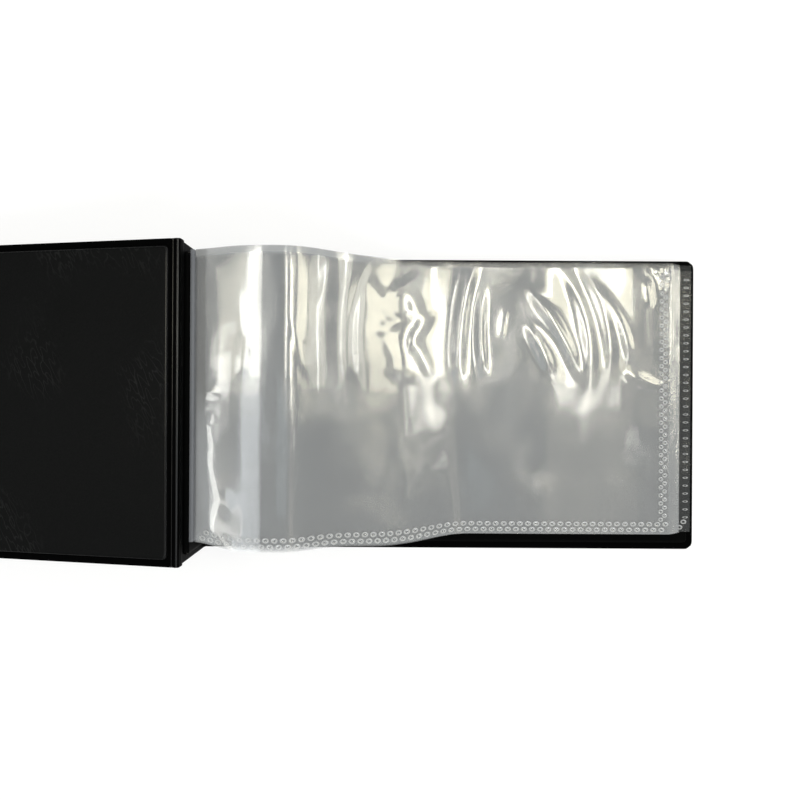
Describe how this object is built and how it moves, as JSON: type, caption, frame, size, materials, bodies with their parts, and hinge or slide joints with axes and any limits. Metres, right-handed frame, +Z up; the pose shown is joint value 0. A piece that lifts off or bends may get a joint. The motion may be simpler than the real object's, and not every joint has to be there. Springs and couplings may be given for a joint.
{
  "type": "banknote album",
  "caption": "Pocket-size album with black padded vinyl covers and a stack of clear welded film pockets bound to its spine, opened at the front cover.",
  "frame": {"origin": "centre of the back cover's flat underside, on the table", "axes": "+X to the fore edge of the back cover, +Y to the pockets' open edge, +Z up from the table"},
  "size_m": [0.3668, 0.11, 0.0353],
  "materials": {
    "black_vinyl": "satin",
    "greyboard": "matte",
    "binding_film": "gloss",
    "clear_film": "gloss"
  },
  "bodies": {
    "back_cover": {"back_outer_skin": "black_vinyl", "back_board": "greyboard", "back_inner_liner": "black_vinyl", "back_hinge_web": "black_vinyl"},
    "spine": {"spine_outer_skin": "black_vinyl", "spine_board": "greyboard", "spine_inner_liner": "black_vinyl", "binding_strip": "binding_film", "binding_stubs": "binding_film"},
    "front_hinge": {"front_hinge_web": "black_vinyl"},
    "front_cover": {"front_outer_skin": "black_vinyl", "front_board": "greyboard", "front_inner_liner": "black_vinyl"},
    "leaf_01": {"leaf_01_back_film": "clear_film", "leaf_01_front_film": "clear_film"},
    "leaf_02": {"leaf_02_back_film": "clear_film", "leaf_02_front_film": "clear_film"},
    "leaf_03": {"leaf_03_back_film": "clear_film", "leaf_03_front_film": "clear_film"},
    "leaf_04": {"leaf_04_back_film": "clear_film", "leaf_04_front_film": "clear_film"},
    "leaf_05": {"leaf_05_back_film": "clear_film", "leaf_05_front_film": "clear_film"},
    "leaf_06": {"leaf_06_back_film": "clear_film", "leaf_06_front_film": "clear_film"},
    "leaf_07": {"leaf_07_back_film": "clear_film", "leaf_07_front_film": "clear_film"},
    "leaf_08": {"leaf_08_back_film": "clear_film", "leaf_08_front_film": "clear_film"},
    "leaf_09": {"leaf_09_back_film": "clear_film", "leaf_09_front_film": "clear_film"},
    "leaf_10": {"leaf_10_back_film": "clear_film", "leaf_10_front_film": "clear_film"},
    "leaf_11": {"leaf_11_back_film": "clear_film", "leaf_11_front_film": "clear_film"},
    "leaf_12": {"leaf_12_back_film": "clear_film", "leaf_12_front_film": "clear_film"},
    "leaf_13": {"leaf_13_back_film": "clear_film", "leaf_13_front_film": "clear_film"},
    "leaf_14": {"leaf_14_back_film": "clear_film", "leaf_14_front_film": "clear_film"},
    "leaf_15": {"leaf_15_back_film": "clear_film", "leaf_15_front_film": "clear_film"},
    "leaf_16": {"leaf_16_back_film": "clear_film", "leaf_16_front_film": "clear_film"},
    "leaf_17": {"leaf_17_back_film": "clear_film", "leaf_17_front_film": "clear_film"},
    "leaf_18": {"leaf_18_back_film": "clear_film", "leaf_18_front_film": "clear_film"},
    "leaf_19": {"leaf_19_back_film": "clear_film", "leaf_19_front_film": "clear_film"},
    "leaf_20": {"leaf_20_back_film": "clear_film", "leaf_20_front_film": "clear_film"}
  },
  "joints": [
    {"name": "spine_fold", "type": "hinge", "parent": "back_cover", "child": "spine", "pos_m": [-0.09425, 0, 0.0007], "axis": [0, -1, 0], "range_deg": [0, 30]},
    {"name": "front_crease", "type": "hinge", "parent": "spine", "child": "front_hinge", "pos_m": [-0.09425, 0, 0.03], "axis": [0, -1, 0], "range_deg": [-32, 0]},
    {"name": "cover_swing", "type": "hinge", "parent": "front_hinge", "child": "front_cover", "pos_m": [-0.09425, 0, 0.034], "axis": [0, -1, 0], "range_deg": [-190.4, 0]},
    {"name": "leaf_01_turn", "type": "hinge", "parent": "spine", "child": "leaf_01", "pos_m": [-0.0912, 0, 0.0262], "axis": [0, -1, 0], "range_deg": [0, 140], "deforming": ["leaf_01_back_film", "leaf_01_front_film"]},
    {"name": "leaf_02_turn", "type": "hinge", "parent": "spine", "child": "leaf_02", "pos_m": [-0.0912, 0, 0.02506], "axis": [0, -1, 0], "range_deg": [0, 84.5], "deforming": ["leaf_02_back_film", "leaf_02_front_film"]},
    {"name": "leaf_03_turn", "type": "hinge", "parent": "spine", "child": "leaf_03", "pos_m": [-0.0912, 0, 0.02392], "axis": [0, -1, 0], "range_deg": [0, 80.06], "deforming": ["leaf_03_back_film", "leaf_03_front_film"]},
    {"name": "leaf_04_turn", "type": "hinge", "parent": "spine", "child": "leaf_04", "pos_m": [-0.0912, 0, 0.02277], "axis": [0, -1, 0], "range_deg": [0, 75.61], "deforming": ["leaf_04_back_film", "leaf_04_front_film"]},
    {"name": "leaf_05_turn", "type": "hinge", "parent": "spine", "child": "leaf_05", "pos_m": [-0.0912, 0, 0.02163], "axis": [0, -1, 0], "range_deg": [0, 71.17], "deforming": ["leaf_05_back_film", "leaf_05_front_film"]},
    {"name": "leaf_06_turn", "type": "hinge", "parent": "spine", "child": "leaf_06", "pos_m": [-0.0912, 0, 0.02049], "axis": [0, -1, 0], "range_deg": [0, 66.72], "deforming": ["leaf_06_back_film", "leaf_06_front_film"]},
    {"name": "leaf_07_turn", "type": "hinge", "parent": "spine", "child": "leaf_07", "pos_m": [-0.0912, 0, 0.01935], "axis": [0, -1, 0], "range_deg": [0, 62.28], "deforming": ["leaf_07_back_film", "leaf_07_front_film"]},
    {"name": "leaf_08_turn", "type": "hinge", "parent": "spine", "child": "leaf_08", "pos_m": [-0.0912, 0, 0.01821], "axis": [0, -1, 0], "range_deg": [0, 57.83], "deforming": ["leaf_08_back_film", "leaf_08_front_film"]},
    {"name": "leaf_09_turn", "type": "hinge", "parent": "spine", "child": "leaf_09", "pos_m": [-0.0912, 0, 0.01706], "axis": [0, -1, 0], "range_deg": [0, 53.39], "deforming": ["leaf_09_back_film", "leaf_09_front_film"]},
    {"name": "leaf_10_turn", "type": "hinge", "parent": "spine", "child": "leaf_10", "pos_m": [-0.0912, 0, 0.01592], "axis": [0, -1, 0], "range_deg": [0, 48.94], "deforming": ["leaf_10_back_film", "leaf_10_front_film"]},
    {"name": "leaf_11_turn", "type": "hinge", "parent": "spine", "child": "leaf_11", "pos_m": [-0.0912, 0, 0.01478], "axis": [0, -1, 0], "range_deg": [0, 44.5], "deforming": ["leaf_11_back_film", "leaf_11_front_film"]},
    {"name": "leaf_12_turn", "type": "hinge", "parent": "spine", "child": "leaf_12", "pos_m": [-0.0912, 0, 0.01364], "axis": [0, -1, 0], "range_deg": [0, 40.06], "deforming": ["leaf_12_back_film", "leaf_12_front_film"]},
    {"name": "leaf_13_turn", "type": "hinge", "parent": "spine", "child": "leaf_13", "pos_m": [-0.0912, 0, 0.01249], "axis": [0, -1, 0], "range_deg": [0, 35.61], "deforming": ["leaf_13_back_film", "leaf_13_front_film"]},
    {"name": "leaf_14_turn", "type": "hinge", "parent": "spine", "child": "leaf_14", "pos_m": [-0.0912, 0, 0.01135], "axis": [0, -1, 0], "range_deg": [0, 31.17], "deforming": ["leaf_14_back_film", "leaf_14_front_film"]},
    {"name": "leaf_15_turn", "type": "hinge", "parent": "spine", "child": "leaf_15", "pos_m": [-0.0912, 0, 0.01021], "axis": [0, -1, 0], "range_deg": [0, 26.72], "deforming": ["leaf_15_back_film", "leaf_15_front_film"]},
    {"name": "leaf_16_turn", "type": "hinge", "parent": "spine", "child": "leaf_16", "pos_m": [-0.0912, 0, 0.00907], "axis": [0, -1, 0], "range_deg": [0, 22.28], "deforming": ["leaf_16_back_film", "leaf_16_front_film"]},
    {"name": "leaf_17_turn", "type": "hinge", "parent": "spine", "child": "leaf_17", "pos_m": [-0.0912, 0, 0.00793], "axis": [0, -1, 0], "range_deg": [0, 17.83], "deforming": ["leaf_17_back_film", "leaf_17_front_film"]},
    {"name": "leaf_18_turn", "type": "hinge", "parent": "spine", "child": "leaf_18", "pos_m": [-0.0912, 0, 0.00678], "axis": [0, -1, 0], "range_deg": [0, 13.39], "deforming": ["leaf_18_back_film", "leaf_18_front_film"]},
    {"name": "leaf_19_turn", "type": "hinge", "parent": "spine", "child": "leaf_19", "pos_m": [-0.0912, 0, 0.00564], "axis": [0, -1, 0], "range_deg": [0, 8.94], "deforming": ["leaf_19_back_film", "leaf_19_front_film"]},
    {"name": "leaf_20_turn", "type": "hinge", "parent": "spine", "child": "leaf_20", "pos_m": [-0.0912, 0, 0.0045], "axis": [0, -1, 0], "range_deg": [0, 4.5], "deforming": ["leaf_20_back_film", "leaf_20_front_film"]}
  ],
  "couplings": [
    {"joint": "front_crease", "follows": "spine_fold", "ratio": -1.04},
    {"joint": "leaf_02_turn", "follows": "leaf_01_turn", "ratio": 0.6},
    {"joint": "leaf_03_turn", "follows": "leaf_01_turn", "ratio": 0.56825},
    {"joint": "leaf_04_turn", "follows": "leaf_01_turn", "ratio": 0.53651},
    {"joint": "leaf_05_turn", "follows": "leaf_01_turn", "ratio": 0.50476},
    {"joint": "leaf_06_turn", "follows": "leaf_01_turn", "ratio": 0.47302},
    {"joint": "leaf_07_turn", "follows": "leaf_01_turn", "ratio": 0.44127},
    {"joint": "leaf_08_turn", "follows": "leaf_01_turn", "ratio": 0.40952},
    {"joint": "leaf_09_turn", "follows": "leaf_01_turn", "ratio": 0.37778},
    {"joint": "leaf_10_turn", "follows": "leaf_01_turn", "ratio": 0.34603},
    {"joint": "leaf_11_turn", "follows": "leaf_01_turn", "ratio": 0.31429},
    {"joint": "leaf_12_turn", "follows": "leaf_01_turn", "ratio": 0.28254},
    {"joint": "leaf_13_turn", "follows": "leaf_01_turn", "ratio": 0.25079},
    {"joint": "leaf_14_turn", "follows": "leaf_01_turn", "ratio": 0.21905},
    {"joint": "leaf_15_turn", "follows": "leaf_01_turn", "ratio": 0.1873},
    {"joint": "leaf_16_turn", "follows": "leaf_01_turn", "ratio": 0.15556},
    {"joint": "leaf_17_turn", "follows": "leaf_01_turn", "ratio": 0.12381},
    {"joint": "leaf_18_turn", "follows": "leaf_01_turn", "ratio": 0.09206},
    {"joint": "leaf_19_turn", "follows": "leaf_01_turn", "ratio": 0.06032},
    {"joint": "leaf_20_turn", "follows": "leaf_01_turn", "ratio": 0.02857}
  ]
}
